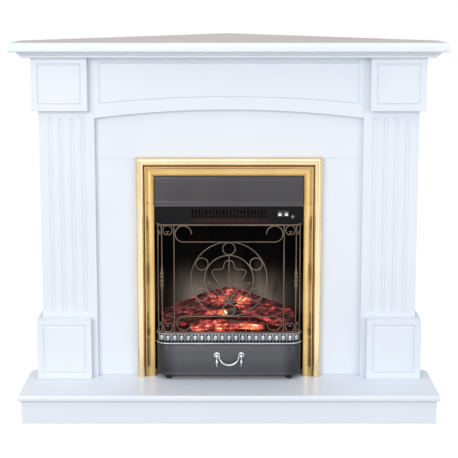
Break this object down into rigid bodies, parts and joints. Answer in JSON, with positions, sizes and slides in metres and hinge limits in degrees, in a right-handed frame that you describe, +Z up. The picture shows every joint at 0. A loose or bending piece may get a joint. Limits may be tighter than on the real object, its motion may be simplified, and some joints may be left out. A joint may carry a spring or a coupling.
{
  "type": "corner fireplace with electric fire",
  "caption": "White corner fireplace: raised hearth, fluted legs, arched frieze and shelf round a brass-trimmed electric fire with scrollwork guard, glowing logs and sliding ash-pan cover.",
  "frame": {"origin": "underside of the hearth, at the middle of the box round the whole fireplace", "axes": "+X to the right as seen from the room, -Y out of the front, +Y into the corner, +Z up; the two walls meet the plan at 45 degrees to X and Y"},
  "size_m": [1.14, 0.747, 0.996],
  "materials": {
    "white_lacquer": "satin white lacquer on board",
    "raw_timber": "sawn softwood, unfinished",
    "polished_brass": "polished brass, lacquered",
    "graphite_sheet": "satin graphite paint on pressed sheet",
    "black_sheet": "matt black paint on folded sheet",
    "pewter_wire": "pewter plated wire",
    "silver_casting": "bright die casting with dark recesses",
    "pan_graphite": "satin metallic graphite paint",
    "bright_chrome": "polished plating",
    "black_rubber": "matt",
    "ivory_plastic": "gloss",
    "black_plastic": "satin",
    "ember_resin": "translucent moulded resin with charcoal tints",
    "log_resin": "moulded resin, glowing from below",
    "frosted_panel": "frosted, flame pattern thrown on it from behind",
    "lamp_glass": "pearl",
    "zinc_steel": "zinc plated"
  },
  "bodies": {
    "surround": {"hearth_top": "white_lacquer", "hearth_fascia": "white_lacquer", "hearth_side_right": "white_lacquer", "hearth_side_left": "white_lacquer", "hearth_framing": "raw_timber", "shelf_board": "white_lacquer", "cornice_board": "white_lacquer", "capital_right": "white_lacquer", "capital_left": "white_lacquer", "plinth_right": "white_lacquer", "plinth_left": "white_lacquer", "leg_board_right": "white_lacquer", "leg_board_left": "white_lacquer", "frieze_board": "white_lacquer", "surround_header": "white_lacquer", "surround_cheek_right": "white_lacquer", "surround_cheek_left": "white_lacquer", "side_return_right": "white_lacquer", "side_return_left": "white_lacquer", "wall_cleats": "raw_timber", "trim_left": "polished_brass", "trim_top": "polished_brass", "trim_right": "polished_brass", "firebox_shell": "black_sheet", "rear_cover": "black_sheet", "cord_inlet": "black_plastic", "shell_skid": "black_rubber", "guard": "pewter_wire", "fret_band": "silver_casting", "hood": "graphite_sheet", "control_panel": "black_sheet", "switch_bezel": "black_plastic", "switch_body": "black_plastic", "dimmer_body": "black_plastic", "ember_bed": "ember_resin", "log_left": "log_resin", "log_right": "log_resin", "log_middle": "log_resin", "log_small": "log_resin", "log_front": "log_resin", "flame_screen": "frosted_panel", "lamp_holders": "zinc_steel", "lamp_right": "lamp_glass", "lamp_left": "lamp_glass", "flame_motor": "black_plastic", "blower_housing": "zinc_steel", "blower_motor": "black_plastic", "heater_element": "zinc_steel"},
    "pan": {"pan_cover": "pan_graphite", "pan_foot_right": "black_rubber", "pan_foot_left": "black_rubber", "handle_plate_right": "bright_chrome", "handle_plate_left": "bright_chrome"},
    "bail": {"handle_bail": "bright_chrome"},
    "heat_switch": {"heat_rocker": "ivory_plastic"},
    "fan_switch": {"fan_rocker": "ivory_plastic"},
    "dimmer": {"dimmer_knob": "ivory_plastic"},
    "blower": {"blower_rotor": "zinc_steel"},
    "flame_roller": {"flame_spindle": "zinc_steel"}
  },
  "joints": [
    {"name": "pan_slide", "type": "slide", "parent": "surround", "child": "pan", "axis": [0, -1, 0], "range_m": [0, 0.1]},
    {"name": "bail_swing", "type": "hinge", "parent": "pan", "child": "bail", "pos_m": [0, -0.2625, 0.151], "axis": [-1, 0, 0], "range_deg": [0, 85]},
    {"name": "heat_switch_tilt", "type": "hinge", "parent": "surround", "child": "heat_switch", "pos_m": [0.1375, -0.2041, 0.532], "axis": [-1, 0, 0], "range_deg": [0, 16]},
    {"name": "fan_switch_tilt", "type": "hinge", "parent": "surround", "child": "fan_switch", "pos_m": [0.155, -0.2041, 0.532], "axis": [-1, 0, 0], "range_deg": [0, 16]},
    {"name": "dimmer_turn", "type": "hinge", "parent": "surround", "child": "dimmer", "pos_m": [0.172, -0.2062, 0.524], "axis": [0, 1, 0], "range_deg": [0, 270]},
    {"name": "blower_spin", "type": "hinge", "parent": "surround", "child": "blower", "pos_m": [0, -0.1085, 0.59], "axis": [1, 0, 0], "continuous": true},
    {"name": "flame_roller_spin", "type": "hinge", "parent": "surround", "child": "flame_roller", "pos_m": [0, -0.0685, 0.19], "axis": [1, 0, 0], "continuous": true}
  ]
}
